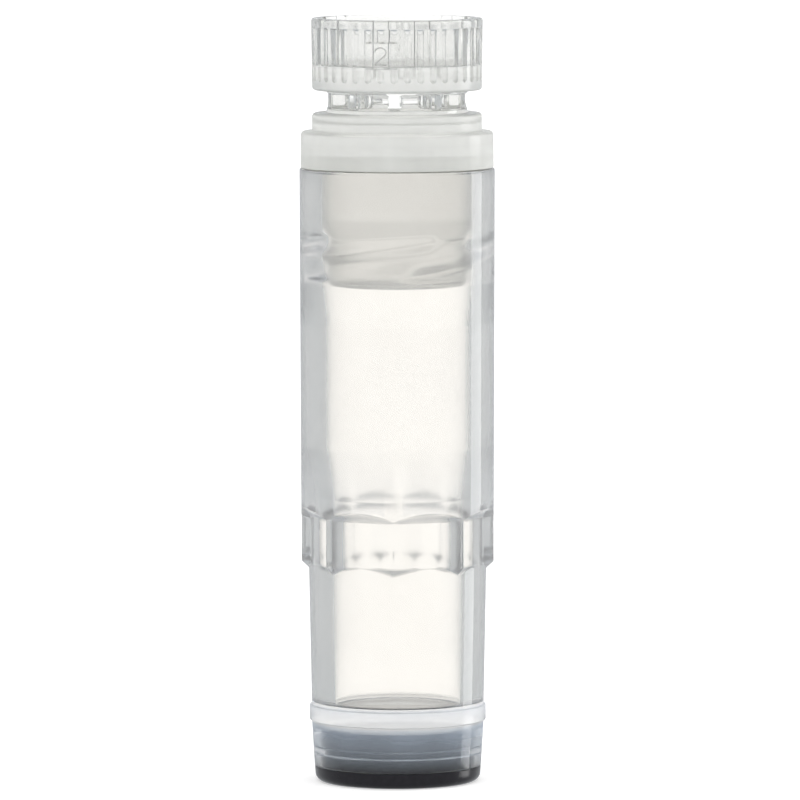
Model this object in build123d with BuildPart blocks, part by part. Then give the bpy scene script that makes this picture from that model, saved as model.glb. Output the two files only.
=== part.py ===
from build123d import *
import os
from math import cos, pi

# Internal-thread cryovial with its screw cap fitted: tube, cap, gasket and snap-in base.
# The frame is in millimetres, with +Z up the tube and the origin at the centre of the foot.
# Directions round the axis are in degrees from +X, so -90 is the front.

# ---- driving dimensions: tube, outside ----
mouth_z = 39.4  # height of the mouth
mouth_radius = 6.25
tube_draft = 0.07  # radius lost from the mouth down to the collar
flat_z = 14.15  # lower edge of the collar's flats
flat_height = 3.0
flat_count = 8
collar_phase = -92.2  # direction of one ridge between two flats
lower_draft = 0.18  # radius lost from the collar down to the bead
bead_z = 3.95
bead_height = 1.0
bead_proud = 0.135
bead_round = 0.12
skirt_draft = 0.165  # radius lost from the bead down to the skirt's edge
mouth_round = 0.1

# ---- driving dimensions: tube, inside ----
floor_z = 5.0
floor_thickness = 1.4
floor_corner = 0.5
mouth_wall = 1.43
upper_wall = 1.65
lower_wall = 1.58
chamber_draft = 0.09  # radius lost down the narrow lower chamber
cone_z = 18.3  # where the chamber starts to widen
cone_height = 3.2
cone_blend = 1.5
shoulder_rise = 0.2  # from the plug's end up to the shoulder, so that its tip dips into the chamber
shoulder_height = 0.25
lead_in_width = 0.3
lead_in_depth = 0.45
skirt_wall = 0.395

# ---- driving dimensions: thread, right-handed ----
thread_lead = 4.0
thread_starts = 2
thread_zone = 3.65  # height of the threaded band, from the plug's end upwards
thread_depth = 0.36
ridge_root_width = 0.9
ridge_crest_width = 0.6
ridge_sink = 0.5  # share of a ridge's height that its flanks carry on into the wall
thread_phase = -90.0  # where the plug's first ridge begins

# ---- driving dimensions: cap ----
plug_length = 7.55
plug_end_chamfer = 0.3
flange_height = 2.37
flange_inset = 0.075  # flange's edge inside the mouth's edge
flange_draft = 0.04
flange_round = 0.2
ledge_height = 1.18
ledge_step = 0.695
ledge_fillet = 0.15
waist_height = 1.45
waist_step = 0.955
pocket_depth = 1.385  # pockets between the ribs of the waist
pocket_foot = 0.35  # plain band below the pockets
pocket_top = 0.2  # plain band above the pockets
foot_flare = 0.08
rib_pairs = 5
rib_width = 0.86
head_height = 4.6
head_radius = 5.485
head_draft = 0.055
head_wall = 0.705
edge_round = 0.25
rim_round = 0.22
socket_depth = 3.0
notch_count = 12
notch_width = 0.97
notch_depth = 0.14
notch_phase = -71.6
flute_count = 40
flute_width = 0.46
flute_depth = 0.2
flute_length = 3.45
flute_margin = 0.55  # from the rim down to the top of a flute
flute_phase = -92.0
plate_phase = -101.0  # smooth number plate among the flutes
plate_width = 2.0
plate_height = 1.65
plate_margin = 1.4  # from the rim down to the top of the plate
plate_corner = 0.2

# ---- driving dimensions: gasket ----
gasket_width = 0.92
gasket_thickness = 0.55
gasket_chamfer = 0.08

# ---- driving dimensions: snap-in base ----
foot_thickness = 1.0
foot_draft = 0.08
foot_round = 0.6
stud_round = 0.15
groove_rise = 0.8  # from the foot disc up to the groove
groove_height = 0.6
groove_depth = 0.25
groove_slope = 0.1  # rise of the groove's slanted sides

# ---- clearances ----
plug_clearance = 0.08  # plug's land to the mouth's bore
thread_clearance = 0.07  # ridge crest to the opposite root
lip_gap = 0.05  # flange's lip above the mouth
gasket_clearance = 0.05
stud_clearance = 0.03
stud_gap = 0.1  # free height above the stud
edge_step = 0.005  # base's edge inside the skirt's edge
small_step = 0.01
fine_round = 0.05

# ---- sizes that follow: tube ----
collar_radius = mouth_radius - tube_draft
apothem = collar_radius * cos(pi / flat_count)
flat_run = 2 * (collar_radius - apothem)  # reach of the 45 degree planes beyond a flat
flat_top_z = flat_z + flat_height
collar_top_z = flat_top_z + collar_radius - apothem
lower_radius = apothem - small_step
bead_seat_radius = lower_radius - lower_draft
bead_radius = bead_seat_radius + bead_proud
skirt_radius = bead_seat_radius - small_step
skirt_edge_radius = skirt_radius - skirt_draft
skirt_bore_radius = skirt_edge_radius - skirt_wall
ceiling_z = floor_z - floor_thickness
mouth_bore_radius = mouth_radius - mouth_wall
upper_bore_radius = collar_radius - upper_wall
lower_bore_radius = lower_radius - lower_wall

# ---- sizes that follow: cap, thread and gasket ----
plug_radius = mouth_bore_radius - plug_clearance
plug_root_radius = plug_radius - thread_depth
plug_end_z = mouth_z - plug_length
land_z = plug_end_z + thread_zone
shoulder_z = plug_end_z + shoulder_rise
ridge_z = plug_end_z + plug_end_chamfer + ridge_root_width / 2
ridge_rise = thread_zone - ridge_root_width - plug_end_chamfer
gasket_inner_radius = plug_radius + gasket_clearance
gasket_outer_radius = gasket_inner_radius + gasket_width
gasket_top_z = mouth_z + gasket_thickness
lip_inner_radius = gasket_outer_radius + gasket_clearance
flange_radius = mouth_radius - flange_inset
flange_top_z = mouth_z + flange_height
ledge_radius = flange_radius - flange_draft - ledge_step
ledge_top_z = flange_top_z + ledge_height
waist_radius = ledge_radius - waist_step
pocket_z = ledge_top_z + pocket_foot
head_z = ledge_top_z + waist_height
rim_z = head_z + head_height
socket_radius = head_radius - head_wall
flute_cut_radius = flute_width**2 / (8 * flute_depth) + flute_depth / 2
flute_straight = flute_length - 2 * flute_cut_radius
flute_axis_radius = head_radius - head_draft / 2 - flute_depth + flute_cut_radius
flute_mid_z = rim_z - flute_margin - flute_length / 2
plate_mid_z = rim_z - plate_margin - plate_height / 2

# ---- sizes that follow: base ----
stud_radius = skirt_bore_radius - stud_clearance
stud_top_z = ceiling_z - stud_gap
groove_radius = stud_radius - groove_depth
groove_z = foot_thickness + groove_rise
groove_top_z = groove_z + groove_height
foot_radius = skirt_edge_radius - edge_step

os.makedirs("parts", exist_ok=True)


def turned_face(*corners):
    """Face for turning about Z, from (radius, height, corner rounding) triples."""
    with BuildSketch(Plane.XZ) as face:
        with BuildLine():
            points = [(radius, height) for radius, height, rounding in corners]
            roundings = [rounding for radius, height, rounding in corners]
            FilletPolyline(*points, radius=roundings, close=True)
        make_face()
    return face.sketch


def thread_ridge(root_radius, crest_radius):
    """One start of the thread, rising from z = 0 at +X, its flanks carried on into the wall."""
    sunk_radius = root_radius + ridge_sink * (root_radius - crest_radius)
    sunk_width = ridge_root_width + ridge_sink * (ridge_root_width - ridge_crest_width)
    with BuildPart() as ridge:
        with BuildLine():
            path = Helix(pitch=thread_lead, height=ridge_rise, radius=root_radius)
        with BuildSketch(Plane.XZ):
            with BuildLine():
                Polyline(
                    (sunk_radius, -sunk_width / 2),
                    (crest_radius, -ridge_crest_width / 2),
                    (crest_radius, ridge_crest_width / 2),
                    (sunk_radius, sunk_width / 2),
                    close=True,
                )
            make_face()
        sweep(path=path, is_frenet=True)
    return ridge.part


# ---- tube ----
# Cutter for one flat of the collar, with a 45 degree plane above it and one below it.
with BuildPart() as flat_cutter:
    with BuildSketch(Plane.XZ):
        with BuildLine():
            Polyline(
                (apothem - flat_run, flat_z - flat_run),
                (apothem, flat_z),
                (apothem, flat_top_z),
                (apothem + flat_run, flat_top_z + flat_run),
                (apothem + 2 * flat_run, flat_top_z + flat_run),
                (apothem + 2 * flat_run, flat_z - flat_run),
                close=True,
            )
        make_face()
    extrude(amount=collar_radius, both=True)

tube_outline = turned_face(
    (0, ceiling_z, 0),
    (0, mouth_z, 0),
    (mouth_radius, mouth_z, mouth_round),
    (collar_radius, collar_top_z, 0),
    (lower_bore_radius, collar_top_z, 0),
    (lower_bore_radius, flat_z, 0),
    (lower_radius, flat_z, 0),
    (bead_seat_radius, bead_z + bead_height, 0),
    (bead_radius, bead_z + bead_height, bead_round),
    (bead_radius, bead_z, bead_round),
    (skirt_radius, bead_z, 0),
    (skirt_edge_radius, foot_thickness, fine_round),
    (skirt_bore_radius, foot_thickness, mouth_round),
    (skirt_bore_radius, ceiling_z, 0),
)
chamber_outline = turned_face(
    (0, floor_z, 0),
    (lower_bore_radius - chamber_draft, floor_z, floor_corner),
    (lower_bore_radius, cone_z, cone_blend),
    (upper_bore_radius, cone_z + cone_height, cone_blend),
    (upper_bore_radius, shoulder_z - shoulder_height, 0),
    (mouth_bore_radius, shoulder_z, 0),
    (mouth_bore_radius, mouth_z - lead_in_depth, 0),
    (mouth_bore_radius + lead_in_width, mouth_z, 0),
    (0, mouth_z, 0),
)
# Ring inside the skirt that snaps into the groove of the base.
snap_outline = turned_face(
    (skirt_bore_radius + fine_round, groove_z + stud_clearance, 0),
    (groove_radius + stud_clearance, groove_z + stud_clearance + groove_slope, 0),
    (groove_radius + stud_clearance, groove_top_z - stud_clearance - groove_slope, 0),
    (skirt_bore_radius + fine_round, groove_top_z - stud_clearance, 0),
)
tube_ridge = thread_ridge(mouth_bore_radius, plug_root_radius + thread_clearance)

with BuildPart() as vial_body:
    # Blank of the collar, cut to its flats, then the round tube above and below it.
    with BuildSketch(Plane.XY.offset(flat_z - flat_run)):
        Circle(collar_radius)
    extrude(amount=collar_top_z + small_step - flat_z + flat_run)
    with PolarLocations(0, flat_count, start_angle=collar_phase + 180 / flat_count):
        add(flat_cutter.part, mode=Mode.SUBTRACT)
    revolve(tube_outline, axis=Axis.Z)
    revolve(chamber_outline, axis=Axis.Z, mode=Mode.SUBTRACT)
    revolve(snap_outline, axis=Axis.Z)
    # Internal thread, half a pitch away from the ridges of the plug.
    with Locations((0, 0, ridge_z)):
        with PolarLocations(0, thread_starts, start_angle=thread_phase + 180 / thread_starts):
            add(tube_ridge)
vial_body.part.label = "vial_body"
export_step(vial_body.part, "parts/vial_body.step")

# ---- cap ----
with BuildPart() as flute_cutter:
    Cylinder(flute_cut_radius, flute_straight)
    with Locations((0, 0, flute_straight / 2), (0, 0, -flute_straight / 2)):
        Sphere(flute_cut_radius)

# All the flutes, left out where the number plate stands.
plate_plane = Plane(
    origin=(0, 0, plate_mid_z),
    x_dir=Vector(0, 1, 0).rotate(Axis.Z, plate_phase),
    z_dir=Vector(1, 0, 0).rotate(Axis.Z, plate_phase),
)
with BuildPart() as flutes:
    with Locations((0, 0, flute_mid_z)):
        with PolarLocations(flute_axis_radius, flute_count, start_angle=flute_phase):
            add(flute_cutter.part)
    with BuildSketch(plate_plane):
        RectangleRounded(plate_width, plate_height, plate_corner)
    extrude(amount=head_radius + flute_width, mode=Mode.SUBTRACT)

cap_outline = turned_face(
    (0, plug_end_z, 0),
    (plug_root_radius - plug_end_chamfer, plug_end_z, 0),
    (plug_root_radius, plug_end_z + plug_end_chamfer, 0),
    (plug_root_radius, land_z, 0),
    (plug_radius, land_z + thread_depth, 0),
    (plug_radius, gasket_top_z, 0),
    (lip_inner_radius, gasket_top_z, 0),
    (lip_inner_radius, mouth_z + lip_gap, 0),
    (flange_radius, mouth_z + lip_gap, fine_round),
    (flange_radius - flange_draft, flange_top_z, flange_round),
    (ledge_radius, flange_top_z, ledge_fillet),
    (ledge_radius, ledge_top_z, edge_round),
    (waist_radius + foot_flare, ledge_top_z, foot_flare),
    (waist_radius, pocket_z, foot_flare),
    (waist_radius, head_z, foot_flare),
    (head_radius - head_draft, head_z, edge_round),
    (head_radius, rim_z, rim_round),
    (0, rim_z, 0),
)
plug_ridge = thread_ridge(plug_root_radius, plug_radius)

with BuildPart() as screw_cap:
    revolve(cap_outline, axis=Axis.Z)
    # Pockets round the waist, which leave its core and ribs.
    with BuildSketch(Plane.XY.offset(pocket_z)):
        Circle(ledge_radius)
        Circle(waist_radius - pocket_depth, mode=Mode.SUBTRACT)
        with PolarLocations(0, rib_pairs, start_angle=flute_phase, angular_range=180):
            Rectangle(2 * head_radius, rib_width, mode=Mode.SUBTRACT)
    extrude(amount=waist_height - pocket_foot - pocket_top, mode=Mode.SUBTRACT)
    # Drive socket with its notches, and the grip flutes outside it.
    with BuildSketch(Plane.XY.offset(rim_z - socket_depth)):
        Circle(socket_radius)
        with PolarLocations(socket_radius, notch_count, start_angle=notch_phase):
            Rectangle(2 * notch_depth, notch_width)
    extrude(amount=socket_depth, mode=Mode.SUBTRACT)
    add(flutes.part, mode=Mode.SUBTRACT)
    with Locations((0, 0, ridge_z)):
        with PolarLocations(0, thread_starts, start_angle=thread_phase):
            add(plug_ridge)
screw_cap.part.label = "screw_cap"
export_step(screw_cap.part, "parts/screw_cap.step")

# ---- gasket ----
with BuildPart() as seal_ring:
    with BuildSketch(Plane.XY.offset(mouth_z)):
        Circle(gasket_outer_radius)
        Circle(gasket_inner_radius, mode=Mode.SUBTRACT)
    extrude(amount=gasket_thickness)
    chamfer(seal_ring.edges().group_by(Axis.Z)[0], gasket_chamfer)
seal_ring.part.label = "seal_ring"
export_step(seal_ring.part, "parts/seal_ring.step")

# ---- snap-in base ----
base_outline = turned_face(
    (0, 0, 0),
    (foot_radius - foot_draft, 0, foot_round),
    (foot_radius, foot_thickness, fine_round),
    (stud_radius, foot_thickness, 0),
    (stud_radius, groove_z, 0),
    (groove_radius, groove_z + groove_slope, 0),
    (groove_radius, groove_top_z - groove_slope, 0),
    (stud_radius, groove_top_z, 0),
    (stud_radius, stud_top_z, stud_round),
    (0, stud_top_z, 0),
)
with BuildPart() as code_base:
    revolve(base_outline, axis=Axis.Z)
code_base.part.label = "code_base"
export_step(code_base.part, "parts/code_base.step")
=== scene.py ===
import math

import bmesh
import bpy
import numpy as np
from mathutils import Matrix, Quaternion, Vector


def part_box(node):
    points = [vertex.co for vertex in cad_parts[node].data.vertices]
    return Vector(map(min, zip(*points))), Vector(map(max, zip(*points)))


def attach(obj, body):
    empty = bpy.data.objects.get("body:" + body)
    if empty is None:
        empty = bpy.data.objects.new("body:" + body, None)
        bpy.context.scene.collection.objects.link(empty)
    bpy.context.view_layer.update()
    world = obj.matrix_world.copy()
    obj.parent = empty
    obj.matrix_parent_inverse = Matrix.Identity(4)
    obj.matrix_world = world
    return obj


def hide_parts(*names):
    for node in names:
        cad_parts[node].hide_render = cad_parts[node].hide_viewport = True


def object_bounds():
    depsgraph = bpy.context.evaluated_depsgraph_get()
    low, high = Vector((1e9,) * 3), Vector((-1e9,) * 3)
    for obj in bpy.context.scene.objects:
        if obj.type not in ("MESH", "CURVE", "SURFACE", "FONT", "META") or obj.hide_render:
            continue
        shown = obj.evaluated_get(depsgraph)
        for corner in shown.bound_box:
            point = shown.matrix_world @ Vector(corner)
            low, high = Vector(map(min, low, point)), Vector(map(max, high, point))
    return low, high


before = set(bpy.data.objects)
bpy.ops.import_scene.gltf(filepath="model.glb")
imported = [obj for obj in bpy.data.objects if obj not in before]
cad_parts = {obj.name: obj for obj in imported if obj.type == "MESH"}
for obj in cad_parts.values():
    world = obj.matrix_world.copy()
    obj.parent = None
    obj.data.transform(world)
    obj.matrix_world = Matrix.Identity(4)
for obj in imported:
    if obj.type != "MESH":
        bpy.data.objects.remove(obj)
cad_low, cad_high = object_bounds()

# The pieces' lengths are in millimetres up to the making of a mesh, as in the CAD, and their angles are in
# degrees from +X. Lamps, camera and noise scales are in metres.
MM = 0.001
HAIR = 0.012  # keeps faces that touch from lying in one plane
SAME_PLACE = 1e-5  # vertices closer than this are one
TIP_R = 0.4  # ring round the vertex that closes a flat end
SHARP, SMALL, SOFT = 0.03, 0.05, 0.1  # roundings of moulded edges

tube_low, tube_high = (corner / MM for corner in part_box("vial_body"))
cap_low, cap_high = (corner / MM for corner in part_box("screw_cap"))
ring_low, ring_high = (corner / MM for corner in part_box("seal_ring"))
base_low, base_high = (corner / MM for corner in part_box("code_base"))

# ---- tube sizes ----
MOUTH_Z = tube_high.z
MOUTH_R = tube_high.x
EDGE_Z = tube_low.z
COLLAR_R = MOUTH_R - 0.07
FLATS = 8
APOTHEM = COLLAR_R * math.cos(math.pi / FLATS)
FLAT_Z = 14.15
FLAT_TOP = FLAT_Z + 3.0
RIDGE_DEG = -92.2
RIDGE_EDGE_DEG = 0.35  # columns beside a ridge of the collar, which blunt it
LOWER_R = APOTHEM - 0.01
BEAD_SEAT_R = LOWER_R - 0.18
BEAD_Z = 3.95
BEAD_TOP = BEAD_Z + 1.0
BEAD_R = BEAD_SEAT_R + 0.135
SKIRT_R = BEAD_SEAT_R - 0.01
SKIRT_EDGE_R = SKIRT_R - 0.165
SKIRT_BORE_R = SKIRT_EDGE_R - 0.395
FLOOR_Z = 5.0
CEILING_Z = FLOOR_Z - 1.4
MOUTH_BORE_R = MOUTH_R - 1.43
UPPER_BORE_R = COLLAR_R - 1.65
LOWER_BORE_R = LOWER_R - 1.58
CONE_Z = 18.3
LOWER_BORE_TAPER = 0.09
BORE_ROWS = (5.4, 6.2, 9.0, 12.4, 13.0, 13.6, 14.2, 15.6, 16.4, 16.9, 17.4, 17.9)  # heights of its rings

# ---- thread sizes ----
LEAD = 4.0
RIDGE_W = 0.9
RIDGE_REACH = 0.9  # from the middle of a rounded ridge to its foot
PLUG_END_Z = cap_low.z
RIDGE_Z = PLUG_END_Z + 0.3 + RIDGE_W / 2
RIDGE_RISE = 3.65 - RIDGE_W - 0.3
LAND_Z = PLUG_END_Z + 3.65
SHOULDER_Z = PLUG_END_Z + 0.2
RIDGE_FADE_DEG = 20  # over which a ridge starts and ends
RIDGE_FADE = 0.4  # height at the zone's top and bottom over which ridges fade
TUBE_RIDGE = 0.12  # how far the tube's ridges stand
THREAD_STEP = 0.05  # between rows of the mesh

# ---- cap sizes ----
RIM_Z = cap_high.z
PLUG_R = MOUTH_BORE_R - 0.08
PLUG_ROOT_R = PLUG_R - 0.36
FLANGE_R = MOUTH_R - 0.075
FLANGE_TOP = MOUTH_Z + 2.37
LIP_R = ring_high.x + 0.05
LEDGE_R = FLANGE_R - 0.04 - 0.695
LEDGE_TOP = FLANGE_TOP + 1.18
WAIST_R = LEDGE_R - 0.955
CORE_R = WAIST_R - 1.385
HEAD_Z = LEDGE_TOP + 1.45
POCKET_Z = LEDGE_TOP + 0.35
POCKET_TOP = HEAD_Z - 0.2
RIBS = 10
RIB_HALF = 0.43
HEAD_R = 5.485
HEAD_LOW_R = HEAD_R - 0.055
SOCKET_R = HEAD_R - 0.705
SOCKET_Z = RIM_Z - 3.0
NOTCHES = 12
NOTCH_DEG = -71.6
NOTCH_HALF = 5.7  # degrees
NOTCH_R = SOCKET_R + 0.14
FLUTES = 40
FLUTE_DEG = -92.0
FLUTE_HALF = 0.23
FLUTE_CUT = 0.232  # radius of the round that cuts it
FLUTE_DEPTH = 0.2
FLUTE_SLOPE = 0.12  # height of the slope at a flute's top
FLUTE_AXIS = HEAD_R - 0.0275 - FLUTE_DEPTH + FLUTE_CUT  # from the head's mean radius
FLUTE_TOP = RIM_Z - 0.55
FLUTE_LOW = FLUTE_TOP - 3.45
PLATE_DEG = -101.0
PLATE_HALF = 1.0
PLATE_TOP = RIM_Z - 1.4
PLATE_LOW = PLATE_TOP - 1.65
PLATE_RISE = 0.08
PLATE_BEVEL = 0.09
FLUTE_STEPS = (0.075, 0.15, 0.205, FLUTE_HALF, 0.26)  # columns to each side of a flute's middle
FLUTE_REACH = 0.25  # columns nearer than this bend into the flute

# ---- base sizes ----
FOOT_TOP = EDGE_Z
STUD_R = SKIRT_BORE_R - 0.03
GROOVE_Z = FOOT_TOP + 0.8
GROOVE_R = STUD_R - 0.25

# ---- cavity number: width, height, top's radius, and the stroke's half width and height ----
NUMBER_W, NUMBER_H, NUMBER_BOWL = 0.72, 1.1, 0.31
STROKE_HALF, STROKE_RISE = 0.045, 0.05
NUMBER_Z = PLATE_TOP - 0.85

# ---- looks: haze is the share of light that a surface scatters, and the rest of it is clear plastic ----
TUBE_HAZE, TUBE_HAZE_BORE, TUBE_HAZE_THREAD, TUBE_HAZE_FLOOR = 0.125, 0.03, 0.04, 0.0
TUBE_ROUGH, TUBE_ROUGH_BORE = 0.05, 0.2
COLLAR_HAZE, SNAP_HAZE = 0.12, 0.2
BEAD_HAZE, BEAD_HAZE_TOP = 0.3, 0.7
SKIRT_HAZE, SKIRT_HAZE_LOW, SKIRT_ROUGH, FLOOR_ROUGH = 0.34, 0.0, 0.1, 0.02
FLANGE_HAZE, FLANGE_HAZE_LOW, WAIST_HAZE, HEAD_HAZE_LOW, HEAD_HAZE = 0.6, 0.75, 0.09, 0.45, 0.18
FLOOR_HAZE, SOCKET_HAZE, PLUG_HAZE = 0.1, 0.06, 0.2
CAP_ROUGH, SOCKET_ROUGH, PLUG_ROUGH = 0.05, 0.12, 0.2
NUMBER_HAZE, NUMBER_ROUGH = 0.3, 0.12
GASKET_HAZE, GASKET_ROUGH = 0.5, 0.42
FORWARD = 0.25  # share of the scattered light that goes on through the wall
COOL_VEIL = (0.7, 0.82, 0.98)
BLACK, BLACK_WORN = (0.008, 0.0075, 0.01), (0.018, 0.016, 0.021)

# ---- noises: cells per metre, how much taller than wide they are, and what they vary ----
CLOUD_SCALE, CLOUD_STRETCH, CLOUD_HAZE = 320, 3.0, (0.88, 1.12)
ETCH_SCALE, ETCH_STRETCH, ETCH_ROUGH = 500, 2.0, (0.85, 1.2)
RIPPLE_SCALE, RIPPLE_STRETCH, RIPPLE_HEIGHT = 400, 2.0, 5e-7
SATIN_SCALE, SATIN_HEIGHT = 2600, 6e-6
SMEAR_SCALE, SMEAR_ROUGH = 700, (0.12, 0.22)
TABLE_SCALE, TABLE_PAINT = 40, (0.79, 0.81)

# ---- light: what each kind of ray sees ----
WHITE = (1.0, 1.0, 1.0)
STUDIO = WHITE
SHEEN = (0.58, 0.6, 0.62)
INSIDE = (0.54, 0.57, 0.585)
WALL_DIM = (0.37, 0.405, 0.44)
WALL_FROM, WALL_TO = 0.35, 0.9  # forward part of a ray where the wall starts to whiten and where it is white
CEILING_PULL = 1.1  # how much its upward part counts against that
DEEP = 5.5  # a ray that passed more surfaces sees white
TABLE_SIZE = 8
TABLE_GLOW = 0.42


# ---------------------------------------------------------------- mesh making
def outline(*corners, segments=5):
    """(radius, height) points of an outline. A corner's third value is its rounding, which is an arc."""
    points = [np.array(corner[:2], float) for corner in corners]
    out = [points[0]]
    for before, corner, after, spec in zip(points, points[1:], points[2:], corners[1:]):
        rounding = spec[2] if len(spec) > 2 else 0
        if not rounding:
            out.append(corner)
            continue
        one, two = before - corner, after - corner
        room = 0.49 * min(np.linalg.norm(one), np.linalg.norm(two))
        one, two = one / np.linalg.norm(one), two / np.linalg.norm(two)
        half = math.acos(np.clip(one @ two, -1, 1)) / 2
        reach = min(rounding / math.tan(half), room)
        centre = corner + (one + two) / np.linalg.norm(one + two) * reach / math.cos(half)
        turn = math.pi - 2 * half
        for share in np.linspace(0, 1, segments + 1):
            start, end = math.sin((1 - share) * turn), math.sin(share * turn)
            arm = start * (corner + one * reach - centre) + end * (corner + two * reach - centre)
            out.append(centre + arm / math.sin(turn))
    return np.array(out + [points[-1]])


def turned(points, phi):
    """Zone of rings: phi, radius and height of each vertex, with a row for each point of an outline."""
    across = np.ones(len(phi))
    return phi * np.ones((len(points), 1)), points[:, :1] * across, points[:, 1:] * across


def rows(phi, *radius_height):
    """Zone of rings from (radius, height) pairs, each a number or one value for each column."""
    ones = np.ones(len(phi))
    radius = np.array([r * ones for r, z in radius_height])
    height = np.array([z * ones for r, z in radius_height])
    return phi * np.ones_like(radius), radius, height


def point(z, r=0.0, phi=0.0):
    """Zone of a single vertex, which closes a mesh."""
    return tuple(np.full((1, 1), v) for v in (phi, r, z))


def bridge(low, high, angles):
    """Faces between two neighbouring rings, which may have different numbers of columns."""
    if len(low) == 1 or len(high) == 1:
        ring = high if len(low) == 1 else low
        tip = low[0] if len(low) == 1 else high[0]
        pairs = zip(ring, np.roll(ring, -1))
        return [(tip, b, a) if len(low) == 1 else (a, b, tip) for a, b in pairs]
    if len(low) == len(high):
        return list(zip(low, np.roll(low, -1), np.roll(high, -1), high))
    a = angles[low]
    start = np.argmin(np.abs((angles[high] - a[0] + 180) % 360 - 180))
    high = np.roll(high, -start)
    b = a[0] + (angles[high] - a[0] + 180) % 360 - 180
    b[1:] = np.where(b[1:] < b[0], b[1:] + 360, b[1:])
    a, b = np.append(a, a[0] + 360), np.append(b, b[0] + 360)
    faces = []
    i = j = 0
    while i < len(low) or j < len(high):
        if j == len(high) or (i < len(low) and a[i + 1] <= b[j + 1]):
            faces.append((low[i], low[(i + 1) % len(low)], high[j % len(high)]))
            i += 1
        else:
            faces.append((low[i % len(low)], high[(j + 1) % len(high)], high[j]))
            j += 1
    return faces


def skin(name, zones, finish=None, loop=False):
    """One mesh from zones of rings. Its ends are single vertices or, in a loop, rings that are joined.

    finish(r, z) gives each vertex its haze, roughness and coolness.
    """
    angles, radii, heights, faces, links = [], [], [], [], []
    count = 0
    last = None
    for phi, r, z in zones:
        grid = count + np.arange(r.size).reshape(r.shape)
        count += r.size
        angles.append(phi.ravel())
        radii.append(r.ravel())
        heights.append(z.ravel())
        low, high = grid[:-1], grid[1:]
        quads = np.stack([low, np.roll(low, -1, 1), np.roll(high, -1, 1), high], -1)
        faces += quads.reshape(-1, 4).tolist()
        if last is not None:
            links.append((last, grid[0]))
        last = grid[-1]
    angles, radii, heights = (np.concatenate(parts) for parts in (angles, radii, heights))
    if loop:
        links.append((last, np.arange(zones[0][1].shape[1])))
    for low, high in links:
        faces += [tuple(int(v) for v in face) for face in bridge(low, high, angles)]
    turn = np.radians(angles)
    places = np.stack([radii * np.cos(turn), radii * np.sin(turn), heights], -1) * MM
    mesh = bpy.data.meshes.new(name)
    mesh.from_pydata(places.tolist(), [], faces)
    if signed_volume(mesh) < 0:
        mesh.flip_normals()
    mesh.shade_smooth()
    if finish:
        for key, values in zip(("haze", "rough", "cool"), finish(radii, heights)):
            mesh.attributes.new(key, "FLOAT", "POINT").data.foreach_set("value", values)
    joined = bmesh.new()
    joined.from_mesh(mesh)
    bmesh.ops.remove_doubles(joined, verts=joined.verts, dist=SAME_PLACE * MM)
    joined.to_mesh(mesh)
    joined.free()
    piece = bpy.data.objects.new(name, mesh)
    bpy.context.scene.collection.objects.link(piece)
    weighted = piece.modifiers.new("face_weighted_normals", "WEIGHTED_NORMAL")
    weighted.weight = 100  # large faces decide
    return piece


def even(haze, rough):
    """A finish that is the same all over a piece."""

    def finish(r, z):
        return haze + 0 * r, rough + 0 * r, 0 * r

    return finish


def signed_volume(mesh):
    """Volume in a mesh, which is below 0 where its faces point inwards."""
    mesh.calc_loop_triangles()
    places = np.empty(len(mesh.vertices) * 3)
    mesh.vertices.foreach_get("co", places)
    corners = np.empty(len(mesh.loop_triangles) * 3, int)
    mesh.loop_triangles.foreach_get("vertices", corners)
    a, b, c = places.reshape(-1, 3)[corners.reshape(-1, 3)].transpose(1, 0, 2)
    return float(np.einsum("ij,ij->i", a, np.cross(b, c)).sum()) / 6


def ease(share):
    """From 0 to 1 with a smooth start and end."""
    share = np.clip(share, 0, 1)
    return share * share * (3 - 2 * share)


def between(value, low, high, at_low, at_high):
    """Goes smoothly from at_low, up to value low, to at_high, from value high on."""
    return at_low + (at_high - at_low) * ease((value - low) / (high - low))


def thread(phi, heights, root_r, crest_r, first_deg):
    """Zone of a threaded wall with two rounded ridges, 180 degrees apart, that rise to the right."""
    z = heights[:, None] * np.ones(len(phi))
    stand = np.zeros_like(z)
    span = RIDGE_RISE / LEAD * 360
    for start in (first_deg, first_deg + 180):
        turn = (phi - start) % 360
        ends = ease(turn / RIDGE_FADE_DEG) * ease((span - turn) / RIDGE_FADE_DEG)
        off = np.abs(z - RIDGE_Z - LEAD * turn / 360)
        stand = np.maximum(stand, ends * ease((RIDGE_REACH - off) / RIDGE_REACH))
    stand *= ease(np.minimum(z - heights.min(), heights.max() - z) / RIDGE_FADE)
    root = root_r * np.ones(len(heights))
    return phi * np.ones_like(z), root[:, None] + (crest_r - root[:, None]) * stand, z


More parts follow.
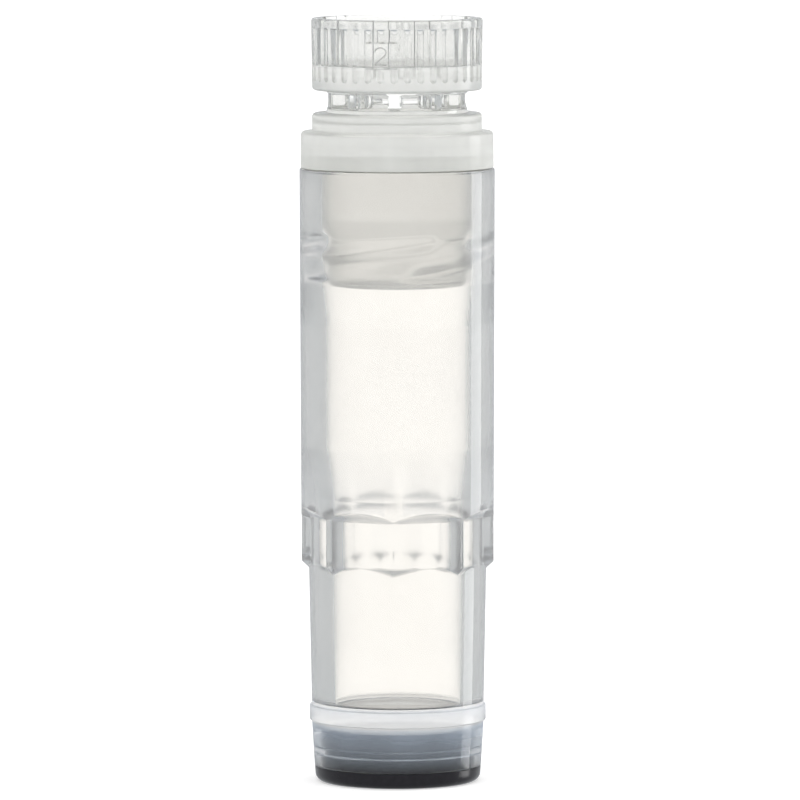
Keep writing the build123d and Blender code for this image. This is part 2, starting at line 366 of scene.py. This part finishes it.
# ---------------------------------------------------------------- tube
def tube_finish(r, z):
    """Polished outside, etched bore, clear floor. Milky above the collar, at the bead and in the skirt.

    The margins in these tests only tell the surfaces apart.
    """
    bore = (r < MOUTH_BORE_R + 0.04) & (z > FLOOR_Z - 0.1)
    threaded = bore & (z > SHOULDER_Z - 0.3)
    floor = bore & (z < FLOOR_Z + 0.2)
    skirt = z < BEAD_Z - 0.1
    bead = (r > SKIRT_R - 0.05) & ~skirt & (z < BEAD_TOP + 0.1)
    snap_ring = (r < SKIRT_BORE_R + 0.02) & (z > GROOVE_Z) & (z < GROOVE_Z + 0.6)
    ceiling = (r < SKIRT_BORE_R - 0.05) & (np.abs(z - CEILING_Z) < 0.05)
    over_collar = between(z, CONE_Z, CONE_Z + 4.0, 1, 0) * (z > FLAT_TOP + 0.5)
    haze = np.where(bore, TUBE_HAZE_BORE, TUBE_HAZE + COLLAR_HAZE * over_collar)
    haze = np.where(threaded, TUBE_HAZE_THREAD, haze)
    haze = np.where(bead, np.where(z > BEAD_TOP - 0.14, BEAD_HAZE_TOP, BEAD_HAZE), haze)
    haze = np.where(skirt, between(z, EDGE_Z, CEILING_Z, SKIRT_HAZE_LOW, SKIRT_HAZE), haze)
    haze = np.where(snap_ring, SNAP_HAZE, haze)
    haze = np.where(floor, TUBE_HAZE_FLOOR, haze)
    haze = np.where(ceiling, SKIRT_HAZE_LOW, haze)
    etched = between(z, FLOOR_Z, FLOOR_Z + 3.0, FLOOR_ROUGH, TUBE_ROUGH_BORE)
    rough = np.where(bore, etched, TUBE_ROUGH)
    rough = np.where(skirt, SKIRT_ROUGH, rough)
    rough = np.where(ceiling, FLOOR_ROUGH, rough)
    return haze, rough, 1.0 * skirt


def make_tube():
    """The tube, one moulding: bore, thread, mouth, the tapered outside with its collar, bead and skirt."""
    step = 360 / FLATS
    whole = np.arange(360.0)
    ridges = whole[whole % step == 0]
    beside = [ridges - RIDGE_EDGE_DEG, ridges + RIDGE_EDGE_DEG]
    columns = np.sort(np.concatenate([whole[whole % step != 0], *beside]))
    phi = RIDGE_DEG + columns
    lean = np.cos(np.radians(columns % step - step / 2))  # to the middle of the nearest flat

    def body(z):
        return COLLAR_R + (MOUTH_R - COLLAR_R) * (z - FLAT_TOP) / (MOUTH_Z - FLAT_TOP)

    def lower(z):
        return BEAD_SEAT_R + (LOWER_R - BEAD_SEAT_R) * (z - BEAD_TOP) / (FLAT_Z - BEAD_TOP)

    def above(z):
        return np.minimum((APOTHEM + z - FLAT_TOP) / lean, body(z))

    def below(z):
        return np.maximum((APOTHEM + z - FLAT_Z) / lean, lower(z))

    # The collar's flats meet the round body in arches and the lower body in tips.
    # Rows close to an edge keep it crisp.
    arch = np.maximum(FLAT_TOP + COLLAR_R * lean - APOTHEM, FLAT_TOP + 0.03)
    tip = np.minimum(FLAT_Z + LOWER_R * lean - APOTHEM, FLAT_Z - 0.03)
    edge = np.minimum(0.03, 0.25 * (arch - FLAT_TOP))
    tip_edge = np.minimum(0.03, 0.25 * (FLAT_Z - tip))
    body_top = MOUTH_Z - 1.0
    upper_rows = [body_top * (1 - t) + (arch + 0.3) * t for t in np.linspace(0.1, 1, 10)]
    outside = [(body(z), z) for z in (*upper_rows, arch + 0.12, arch + edge)]
    for z in (arch - edge, (arch + FLAT_TOP) / 2, FLAT_TOP + edge):
        outside.append((above(z), z))
    for z in (FLAT_TOP - 0.03, FLAT_TOP - 0.15, FLAT_TOP - 0.6, FLAT_Z + 0.6, FLAT_Z + 0.15, FLAT_Z + 0.03):
        outside.append((APOTHEM / lean, z))
    for z in (FLAT_Z - tip_edge, (FLAT_Z + tip) / 2, tip + tip_edge):
        outside.append((below(z), z))
    lower_rows = [(tip - 0.35) * (1 - t) + 6.0 * t for t in np.linspace(0.2, 1, 5)]
    outside += [(lower(z), z) for z in (tip - 0.03, tip - 0.15, tip - 0.35, *lower_rows)]

    chamber = outline(
        (TIP_R, FLOOR_Z),
        (LOWER_BORE_R - LOWER_BORE_TAPER, FLOOR_Z, 0.2),
        *((LOWER_BORE_R - LOWER_BORE_TAPER * (CONE_Z - z) / (CONE_Z - FLOOR_Z), z) for z in BORE_ROWS),
        (LOWER_BORE_R, CONE_Z, 1.0),
        (UPPER_BORE_R, CONE_Z + 3.2, 1.5),
        (UPPER_BORE_R, SHOULDER_Z - 3.2),
        (UPPER_BORE_R, SHOULDER_Z - 2.6, 0.5),
        (MOUTH_BORE_R, SHOULDER_Z, 0.3),
        (MOUTH_BORE_R, SHOULDER_Z + 0.1),
        segments=8,
    )
    mouth = outline(
        (MOUTH_BORE_R, MOUTH_Z - 0.6),
        (MOUTH_BORE_R, MOUTH_Z - 0.3, SOFT),
        (MOUTH_BORE_R + 0.1, MOUTH_Z - HAIR, SMALL),
        (MOUTH_R, MOUTH_Z - HAIR, SOFT),
        (body(body_top), body_top),
    )
    skirt = outline(
        (lower(5.6), 5.6),
        (lower(5.2), 5.2),
        (BEAD_SEAT_R, BEAD_TOP, SMALL),
        (BEAD_R, BEAD_TOP, 0.12),
        (BEAD_R, BEAD_Z, 0.12),
        (SKIRT_R, BEAD_Z, SMALL),
        (SKIRT_R, BEAD_Z - 0.2),
        (SKIRT_EDGE_R, EDGE_Z + HAIR, SMALL),
        (SKIRT_BORE_R, EDGE_Z + HAIR, SOFT),
        (SKIRT_BORE_R, GROOVE_Z + 0.03, SHARP),
        (GROOVE_R + 0.03, GROOVE_Z + 0.13, SHARP),
        (GROOVE_R + 0.03, GROOVE_Z + 0.47, SHARP),
        (SKIRT_BORE_R, GROOVE_Z + 0.57, SHARP),
        (SKIRT_BORE_R, CEILING_Z, SOFT),
        (TIP_R, CEILING_Z),
    )
    thread_rows = np.arange(SHOULDER_Z + 0.12, LAND_Z + 0.1, THREAD_STEP)
    zones = [
        point(FLOOR_Z),
        turned(chamber, phi),
        thread(phi, thread_rows, MOUTH_BORE_R, MOUTH_BORE_R - TUBE_RIDGE, 0),
        turned(mouth, phi),
        rows(phi, *outside),
        turned(skirt, phi),
        point(CEILING_Z),
    ]
    return skin("tube_wall", zones, tube_finish)


# ---------------------------------------------------------------- cap
def cap_finish(r, z):
    """The thick flange and ledge look milky; the thin head is clearer."""
    ledge = between(z, LEDGE_TOP - 0.3, LEDGE_TOP + 0.3, FLANGE_HAZE, WAIST_HAZE)
    head = between(z, SOCKET_Z - 0.4, SOCKET_Z + 0.3, HEAD_HAZE_LOW, HEAD_HAZE)
    inside = between(z, SOCKET_Z, SOCKET_Z + 1.2, FLOOR_HAZE, SOCKET_HAZE)
    socket = (r < NOTCH_R + 0.1) & (z > SOCKET_Z - 0.1)
    haze = between(z, MOUTH_Z + 0.9, MOUTH_Z + 1.6, FLANGE_HAZE_LOW, FLANGE_HAZE)
    haze = np.where(z > LEDGE_TOP - 0.3, ledge, haze)
    haze = np.where(z > HEAD_Z - 0.1, head, haze)
    haze = np.where(socket, inside, haze)
    haze = np.where(z < MOUTH_Z, PLUG_HAZE, haze)
    rough = np.where(socket, SOCKET_ROUGH, CAP_ROUGH)
    rough = np.where((r < PLUG_R + 0.1) & (z < MOUTH_Z + 0.6), PLUG_ROUGH, rough)
    return haze, rough, 0 * z


def flute_columns():
    """Centre and offset in mm of each column of the head. The plate's edges split two flutes."""
    across = np.array(FLUTE_STEPS)
    plain = np.concatenate([-across[::-1], [0], across])
    centres, offsets = [], []
    for k in range(FLUTES):
        centre = FLUTE_DEG + 360 / FLUTES * k
        cut = PLATE_HALF - HEAD_R * math.radians(abs(centre - PLATE_DEG))
        steps = plain
        if 0 < cut < FLUTE_HALF:
            side = math.copysign(1, centre - PLATE_DEG)
            steps = plain[np.abs(plain - side * cut) > PLATE_BEVEL]
            bevel = [side * (cut - PLATE_BEVEL / 2), side * (cut + PLATE_BEVEL / 2)]
            steps = np.sort(np.append(steps, bevel))
        centres += [centre] * (len(steps) + 1)
        offsets += [*steps, np.nan]
    return np.array(centres), np.array(offsets)


def fluted_side(centres, offsets):
    """Zone of the head's side, from its top edge down. Flutes end in a slope above and a round below."""
    swing = np.radians([90, 72, 54, 38, 24, 12, 3])
    tops = FLUTE_TOP - FLUTE_SLOPE * np.linspace(0, 1, 6)
    lows = FLUTE_LOW + FLUTE_CUT * (1 - np.sin(swing))
    ends = [FLUTE_TOP + 0.12, FLUTE_TOP + 0.03, FLUTE_LOW - 0.03, FLUTE_LOW - 0.12]
    bevel = PLATE_BEVEL * np.array([-1, -0.5, 0.5, 1])
    plate = [*(PLATE_TOP + bevel), *(PLATE_LOW + bevel)]
    middle = np.linspace(FLUTE_LOW + 0.4, FLUTE_TOP - 0.4, 6)
    heights = np.sort(np.concatenate([tops, lows, ends, plate, middle]))[::-1]
    land = np.isnan(offsets)
    inner = ~land & (np.abs(offsets) < FLUTE_REACH)
    phi, radius = [], []
    for z in heights:
        wall = HEAD_LOW_R + (HEAD_R - HEAD_LOW_R) * (z - HEAD_Z) / (RIM_Z - HEAD_Z)
        over = max(FLUTE_LOW + FLUTE_CUT - z, 0)
        scale = max(math.sqrt(max(FLUTE_CUT**2 - over**2, 0)) / FLUTE_CUT, 0.05)
        shift = np.nan_to_num(offsets) * scale
        shift = np.where(inner, shift, np.sign(np.nan_to_num(offsets)) * (FLUTE_HALF * scale + 0.03))
        angle = centres + np.where(land, 180 / FLUTES, np.degrees(shift / wall))
        room = FLUTE_CUT**2 - shift**2 - over**2
        slope = wall - FLUTE_DEPTH * max(FLUTE_TOP - z, 0) / FLUTE_SLOPE
        cut = np.minimum(np.maximum(FLUTE_AXIS - np.sqrt(np.maximum(room, 0)), slope), wall)
        off = wall * np.radians((angle - PLATE_DEG + 180) % 360 - 180)
        plated = (np.abs(off) < PLATE_HALF) & (PLATE_LOW < z < PLATE_TOP)
        phi.append(angle)
        radius.append(np.where(plated, wall + PLATE_RISE, np.where(inner & (room > 0), cut, wall)))
    return np.array(phi), np.array(radius), heights[:, None] * np.ones(len(centres))


def rib_columns(phi):
    """Moves columns onto the ribs' edges, at the waist's outside and at its core."""
    pitch = 360 / RIBS
    away = (phi - FLUTE_DEG + pitch / 2) % pitch - pitch / 2
    outer, inner = (math.degrees(math.asin(RIB_HALF / r)) for r in (WAIST_R, CORE_R))
    near, far = outer + 0.77, outer + 2.8  # the columns that move onto the two edges
    moved = np.interp(np.abs(away), [0, near, far, pitch / 2], [0, outer, inner, pitch / 2])
    return phi - away + np.sign(away) * moved


def waist_side(phi):
    """Zone of the waist: pockets between ribs of even width, down to a round core."""
    pitch = 360 / RIBS
    away = np.abs((phi - FLUTE_DEG + pitch / 2) % pitch - pitch / 2)
    wall = np.clip(RIB_HALF / np.maximum(np.sin(np.radians(away)), 1e-6), CORE_R, WAIST_R)
    lip, deep = np.maximum(wall, WAIST_R - 0.03), np.maximum(wall, CORE_R + 0.05)
    down = [(WAIST_R, POCKET_TOP + 0.03), (lip, POCKET_TOP), (deep, POCKET_TOP), (wall, POCKET_TOP - 0.05)]
    up = [(wall, POCKET_Z + 0.05), (deep, POCKET_Z), (lip, POCKET_Z), (WAIST_R, POCKET_Z - 0.03)]
    return rows(phi, *down, (wall, (POCKET_TOP + POCKET_Z) / 2), *up)


def socket_side():
    """Zone of the drive socket's wall and rim, with its shallow notches."""
    across = np.array([1.6, 3.2, 4.6, NOTCH_HALF - 0.06, NOTCH_HALF + 0.06, 7.5, 9.5, 11.5, 13.5])
    steps = np.concatenate([-across[::-1], [0], across, [15]])
    away = np.tile(steps, NOTCHES)
    phi = np.repeat(NOTCH_DEG + 360 / NOTCHES * np.arange(NOTCHES), len(steps)) + away
    flat = NOTCH_R / np.cos(np.radians(np.clip(away, -NOTCH_HALF, NOTCH_HALF)))
    wall = np.where(np.abs(away) < NOTCH_HALF, flat, SOCKET_R)
    fillet = 0.15
    bends = np.radians([0, 15, 30, 45, 60, 75, 90])
    corner = [(wall - fillet * (1 - math.sin(t)), SOCKET_Z + fillet * (1 - math.cos(t))) for t in bends]
    straight = [(wall, SOCKET_Z + 1.2), (wall, RIM_Z - 0.2), (wall, RIM_Z - 0.06)]
    return rows(phi, *corner, *straight, (wall + 0.02, RIM_Z - 0.015), (wall + 0.06, RIM_Z))


def make_cap():
    """The cap, one moulding: drive socket, fluted head, ribbed waist, ledge, flange and threaded plug."""
    centres, offsets = flute_columns()
    side = fluted_side(centres, offsets)
    head_phi = side[0][len(side[0]) // 2]
    waist_phi = rib_columns(head_phi)
    round_phi = np.arange(360.0) - 90
    rim = outline((HEAD_R - 0.45, RIM_Z), (HEAD_R, RIM_Z, 0.22), (HEAD_R - 0.005, RIM_Z - 0.35))
    under = outline(
        (HEAD_LOW_R + 0.002, HEAD_Z + 0.45),
        (HEAD_LOW_R, HEAD_Z, 0.25),
        (WAIST_R, HEAD_Z, 0.08),
        (WAIST_R, POCKET_TOP + 0.08),
    )
    foot = outline(
        (WAIST_R, POCKET_Z - 0.06),
        (WAIST_R, POCKET_Z - 0.12, 0.02),
        (WAIST_R + 0.08, LEDGE_TOP, 0.08),
        (LEDGE_R, LEDGE_TOP, 0.25),
        (LEDGE_R, FLANGE_TOP, 0.15),
        (FLANGE_R - 0.04, FLANGE_TOP, 0.2),
        (FLANGE_R - 0.015, MOUTH_Z + 1.6),
        (FLANGE_R - 0.01, MOUTH_Z + 0.9),
        (FLANGE_R - 0.002, MOUTH_Z + 0.2),
        (FLANGE_R, MOUTH_Z + 0.05, SMALL),
        (LIP_R, MOUTH_Z + 0.05, SHARP),
        (LIP_R, ring_high.z + HAIR, SHARP),
        (PLUG_R, ring_high.z + HAIR, SHARP),
        (PLUG_R, MOUTH_Z + 0.05),
        (PLUG_R, MOUTH_Z - 0.05),
        (PLUG_R, LAND_Z + 1.2),
        (PLUG_R, LAND_Z + 0.6),
    )
    end = outline(
        (PLUG_ROOT_R, PLUG_END_Z + 0.36),
        (PLUG_ROOT_R, PLUG_END_Z + 0.3, SMALL),
        (PLUG_ROOT_R - 0.3, PLUG_END_Z, SOFT),
        (TIP_R, PLUG_END_Z),
    )
    socket = socket_side()
    socket_floor = np.array([[0.6, SOCKET_Z], [2.5, SOCKET_Z]])
    thread_rows = np.arange(LAND_Z + 0.5, PLUG_END_Z + 0.37, -THREAD_STEP)
    root = between(thread_rows, LAND_Z - 0.6, LAND_Z + 0.45, PLUG_ROOT_R, PLUG_R)
    zones = [
        point(SOCKET_Z),
        turned(socket_floor, socket[0][0]),
        socket,
        turned(rim, head_phi),
        side,
        turned(under, head_phi),
        waist_side(waist_phi),
        turned(foot, round_phi),
        thread(round_phi, thread_rows, root, PLUG_R, -90),
        turned(end, round_phi),
        point(PLUG_END_Z),
    ]
    return skin("cap_shell", zones, cap_finish)


def make_number():
    """The cavity number 2 on the cap's plate, a thin raised stroke bent to the head's round."""
    right, low = NUMBER_W / 2, -NUMBER_H / 2
    arc = np.radians(np.linspace(165, -38, 15))
    top = np.stack([right * np.cos(arc), -low - NUMBER_BOWL + NUMBER_BOWL * np.sin(arc)], -1)
    foot = [(-right, low + 0.03), (0.03 - right, low), (right, low)]
    path = np.concatenate([top, foot])
    along = np.gradient(path, axis=0)
    along /= np.linalg.norm(along, axis=1)[:, None]
    side = np.stack([-along[:, 1], along[:, 0]], -1)
    stroke = np.radians(np.linspace(0, 360, 9)[:-1])
    across, out = STROKE_HALF * np.cos(stroke), STROKE_RISE * np.sin(stroke)
    u = path[:, :1] + side[:, :1] * across
    z = NUMBER_Z + (path[:, 1:] + side[:, 1:] * across)
    wall = HEAD_LOW_R + (HEAD_R - HEAD_LOW_R) * (z - HEAD_Z) / (RIM_Z - HEAD_Z)
    phi = PLATE_DEG + np.degrees(u / wall)
    start, end = (point(z[i].mean(), wall[i].mean() + PLATE_RISE, phi[i].mean()) for i in (0, -1))
    zones = [start, (phi, wall + PLATE_RISE + out, z), end]
    return skin("cavity_number", zones, even(NUMBER_HAZE, NUMBER_ROUGH))


# ---------------------------------------------------------------- gasket and base
def make_gasket():
    """The flat silicone ring on the tube's mouth."""
    inner = PLUG_R + 0.05
    low, high = ring_low.z + HAIR, ring_high.z - HAIR
    ring = outline(
        (inner + 0.5, low),
        (ring_high.x, low, 0.08),
        (ring_high.x, high, 0.04),
        (inner, high, 0.04),
        (inner, low, 0.08),
        (inner + 0.4, low),
    )
    zones = [turned(ring, np.arange(0, 360, 2.0))]
    return skin("gasket_ring", zones, even(GASKET_HAZE, GASKET_ROUGH), loop=True)


def make_base():
    """The black insert: foot disc and grooved stud."""
    foot_r = SKIRT_EDGE_R - 0.005
    section = outline(
        (TIP_R, base_low.z),
        (foot_r - 0.08, base_low.z, 0.6),
        (foot_r, FOOT_TOP - HAIR, SMALL),
        (STUD_R, FOOT_TOP - HAIR, SHARP),
        (STUD_R, GROOVE_Z, SHARP),
        (GROOVE_R, GROOVE_Z + 0.1, SHARP),
        (GROOVE_R, GROOVE_Z + 0.5, SHARP),
        (STUD_R, GROOVE_Z + 0.6, SHARP),
        (STUD_R, base_high.z, 0.15),
        (TIP_R, base_high.z),
    )
    zones = [point(base_low.z), turned(section, np.arange(0, 360, 2.0)), point(base_high.z)]
    return skin("base_insert", zones)


# ---------------------------------------------------------------- materials
class Tree:
    """Short ways to add and join the nodes of one material or world."""

    def __init__(self, owner, output):
        owner.use_nodes = True
        self.nodes, self.links = owner.node_tree.nodes, owner.node_tree.links
        self.nodes.clear()
        self.output = self.nodes.new(output)

    def add(self, kind, out=0, setup=(), **inputs):
        """A node's output. Its inputs, by name or number, are values or the outputs of other nodes."""
        new = self.nodes.new("ShaderNode" + kind)
        for key, value in dict(setup).items():
            setattr(new, key, value)
        for key, value in inputs.items():
            socket = new.inputs[int(key[1:]) if key[1:].isdigit() else key.replace("_", " ")]
            if isinstance(value, bpy.types.NodeSocket):
                self.links.new(value, socket)
            else:
                socket.default_value = value
        return new.outputs[out]

    def calc(self, operation, one, two=0.0):
        return self.add("Math", setup={"operation": operation}, i0=one, i1=two)

    def tone(self, share, one, two):
        """A colour between two. Numbers 6 and 7 are the node's colour inputs."""
        return self.add("Mix", out=2, setup={"data_type": "RGBA"}, i0=share, i6=(*one, 1), i7=(*two, 1))

    def mix(self, share, one, two):
        return self.add("MixShader", i0=share, i1=one, i2=two)

    def surface(self, shader):
        self.links.new(shader, self.output.inputs["Surface"])


def new_material(name):
    """A material and the tree of its nodes."""
    material = bpy.data.materials.new(name)
    return material, Tree(material, "ShaderNodeOutputMaterial")


def grain(tree, scale, stretch=1.0):
    """Noise from 0 to 1 in the piece's own space, in cells per metre. stretch lengthens them upwards."""
    place = tree.add("TexCoord", out="Object")
    place = tree.add("Mapping", Vector=place, Scale=(1, 1, 1 / stretch))
    return tree.add("TexNoise", out="Fac", Vector=place, Scale=scale, Detail=2.0)


def spread(tree, noise, low, high):
    """Noise, mostly from 0.3 to 0.7, spread over a range."""
    ends = {"From_Min": 0.3, "From_Max": 0.7, "To_Min": low, "To_Max": high}
    return tree.add("MapRange", setup={"clamp": False}, Value=noise, **ends)


def clear_plastic(name, pale, warm, front, behind, ior):
    """Natural plastic: glass that haze, from the mesh, veils with light scattered forwards and back."""
    material, tree = new_material(name)
    haze, rough, cool = (
        tree.add("Attribute", out="Fac", setup={"attribute_name": key}) for key in ("haze", "rough", "cool")
    )
    cloud = grain(tree, CLOUD_SCALE, CLOUD_STRETCH)
    etch = grain(tree, ETCH_SCALE, ETCH_STRETCH)
    waves = grain(tree, RIPPLE_SCALE, RIPPLE_STRETCH)
    haze = tree.calc("MULTIPLY", haze, spread(tree, cloud, *CLOUD_HAZE))
    rough = tree.calc("MULTIPLY", rough, spread(tree, etch, *ETCH_ROUGH))
    ripple = tree.add("Bump", Strength=1.0, Distance=RIPPLE_HEIGHT, Height=waves)
    glass = tree.add(
        "BsdfPrincipled",
        Base_Color=tree.tone(spread(tree, cloud, 0, 1), pale, warm),
        Roughness=rough,
        IOR=ior,
        Normal=ripple,
        Transmission_Weight=1.0,
    )
    back = tree.add("BsdfDiffuse", Color=tree.tone(cool, front, COOL_VEIL), Normal=ripple)
    forth = tree.add("BsdfTranslucent", Color=(*behind, 1), Normal=ripple)
    tree.surface(tree.mix(haze, glass, tree.mix(FORWARD, back, forth)))
    return material


def black_plastic():
    """Black plastic, lightly polished, with a faint satin grain."""
    material, tree = new_material("black_polypropylene")
    fine = grain(tree, SATIN_SCALE)
    shader = tree.add(
        "BsdfPrincipled",
        Base_Color=tree.tone(fine, BLACK, BLACK_WORN),
        Roughness=spread(tree, grain(tree, SMEAR_SCALE), *SMEAR_ROUGH),
        Normal=tree.add("Bump", Strength=1.0, Distance=SATIN_HEIGHT, Height=fine),
        Specular_IOR_Level=0.3,
    )
    tree.surface(shader)
    return material


# ---------------------------------------------------------------- floor, light and camera
def ray_kinds(tree):
    """Tells which rays are straight, through plastic, mirrored, mirrored inside it, or past many surfaces."""
    path = tree.nodes.new("ShaderNodeLightPath").outputs
    unlit = tree.calc("LESS_THAN", path["Diffuse Depth"], 0.5)
    through = tree.calc("MULTIPLY", path["Is Transmission Ray"], unlit)
    bounced = tree.calc("GREATER_THAN", path["Glossy Depth"], 0.5)
    deep = tree.calc("GREATER_THAN", path["Transmission Depth"], DEEP)
    return {
        "straight": path["Is Camera Ray"],
        "through": through,
        "mirrored": tree.calc("MULTIPLY", path["Is Glossy Ray"], unlit),
        "inside": tree.calc("MULTIPLY", tree.calc("SUBTRACT", bounced, deep), through),
        "deep": deep,
    }


def make_world():
    """Even studio light. Through plastic it is a wall, white ahead and dimmer at the sides and above."""
    world = bpy.data.worlds.new("studio")
    bpy.context.scene.world = world
    tree = Tree(world, "ShaderNodeOutputWorld")
    rays = ray_kinds(tree)
    direction = tree.add("TexCoord", out="Generated")
    ahead = tree.add("SeparateXYZ", out="Y", Vector=direction)
    up = tree.calc("MAXIMUM", tree.add("SeparateXYZ", out="Z", Vector=direction), 0.0)
    facing = tree.calc("SUBTRACT", ahead, tree.calc("MULTIPLY", up, CEILING_PULL))
    white = tree.add("MapRange", Value=facing, From_Min=WALL_FROM, From_Max=WALL_TO)
    wall = tree.tone(tree.calc("MAXIMUM", white, rays["deep"]), WALL_DIM, WHITE)
    backdrop = tree.add("Background", Color=wall)
    plain, studio, sheen = (tree.add("Background", Color=(*colour, 1)) for colour in (WHITE, STUDIO, SHEEN))
    view = tree.mix(rays["through"], tree.mix(rays["mirrored"], studio, sheen), backdrop)
    tree.surface(tree.mix(rays["straight"], view, plain))


def make_floor():
    """White table. Where the camera sees it, straight or through plastic, it glows up to white.

    It keeps the object's shadow. Rays that were mirrored inside plastic see an even grey instead.
    """
    bpy.ops.mesh.primitive_plane_add(size=TABLE_SIZE, location=(0, 0, cad_low.z - HAIR * MM))
    table = bpy.context.object
    table.name = "table"
    table.visible_glossy = False
    material, tree = new_material("white_table")
    rays = ray_kinds(tree)
    seen = tree.calc("MAXIMUM", rays["straight"], rays["through"])
    paint = spread(tree, grain(tree, TABLE_SCALE), *TABLE_PAINT)
    matt = tree.add("BsdfDiffuse", Color=tree.add("CombineColor", Red=paint, Green=paint, Blue=paint))
    glow = tree.add("Emission", Color=(*WHITE, 1), Strength=tree.calc("MULTIPLY", seen, TABLE_GLOW))
    grey = tree.add("Emission", Color=(*INSIDE, 1), Strength=1.0)
    tree.surface(tree.mix(rays["inside"], tree.add("AddShader", i0=matt, i1=glow), grey))
    table.data.materials.append(material)


def softbox(name, bearing, height, reach, size, radiance):
    """Area lamp at a bearing in degrees to the right of the viewer, aimed at the object."""
    data = bpy.data.lights.new(name, "AREA")
    data.shape = "RECTANGLE"
    data.size, data.size_y = size
    data.energy = radiance * math.pi * size[0] * size[1]
    lamp = bpy.data.objects.new(name, data)
    bpy.context.scene.collection.objects.link(lamp)
    turn = math.radians(bearing)
    lamp.location = (math.sin(turn) * reach, -math.cos(turn) * reach, height)
    aim = Vector((0, 0, min(height, 0.1))) - lamp.location
    lamp.rotation_euler = aim.to_track_quat("-Z", "Y").to_euler()
    lamp.visible_transmission = False


def make_camera(distance, elevation, roll, aim, view_width):
    """The photograph's view. It spans view_width at the object's axis."""
    data = bpy.data.cameras.new("camera")
    data.sensor_width = 36.0
    data.lens = data.sensor_width * distance / view_width
    data.clip_start = 0.01
    camera = bpy.data.objects.new("camera", data)
    bpy.context.scene.collection.objects.link(camera)
    tilt = math.radians(elevation)
    back = Vector((0, -math.cos(tilt), math.sin(tilt)))
    camera.location = Vector(aim) + back * distance
    level = (-back).to_track_quat("-Z", "Y")
    camera.rotation_euler = (level @ Quaternion((0, 0, 1), math.radians(roll))).to_euler()
    bpy.context.scene.camera = camera


# ---------------------------------------------------------------- the scene
piece_rows = (
    (make_tube, "vial", "vial_body", "tube_plastic"),
    (make_cap, "cap", "screw_cap", "cap_plastic"),
    (make_number, "cap", None, "cap_plastic"),
    (make_gasket, "gasket", "seal_ring", "gasket_silicone"),
    (make_base, "vial", "code_base", "base_plastic"),
)
finishes = {
    "tube_plastic": clear_plastic(
        "natural_tube",
        pale=(0.998, 0.981, 0.951),
        warm=(0.994, 0.974, 0.938),
        front=(0.89, 0.925, 0.975),
        behind=(0.99, 0.965, 0.92),
        ior=1.49,
    ),
    "cap_plastic": clear_plastic(
        "natural_cap",
        pale=(0.994, 0.994, 0.986),
        warm=(0.99, 0.99, 0.978),
        front=(0.9, 0.91, 0.885),
        behind=(0.93, 0.935, 0.9),
        ior=1.49,
    ),
    "gasket_silicone": clear_plastic(
        "silicone",
        pale=(0.98, 0.98, 0.96),
        warm=(0.97, 0.97, 0.94),
        front=(0.96, 0.96, 0.86),
        behind=(0.96, 0.96, 0.86),
        ior=1.41,
    ),
    "base_plastic": black_plastic(),
}
for make, body, cad_node, slot in piece_rows:
    piece = make()
    piece.data.materials.append(finishes[slot])
    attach(piece, body)
    if cad_node:
        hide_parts(cad_node)

make_world()
make_floor()
softbox("key", bearing=108, height=0.1, reach=0.36, size=(0.13, 0.4), radiance=3.0)
softbox("fill", bearing=-35, height=0.3, reach=0.5, size=(0.25, 0.25), radiance=0.8)
make_camera(distance=0.548, elevation=4.75, roll=-0.07, aim=(0.000165, 0, 0.0245), view_width=0.05128)
bpy.context.scene.view_settings.view_transform = "Standard"
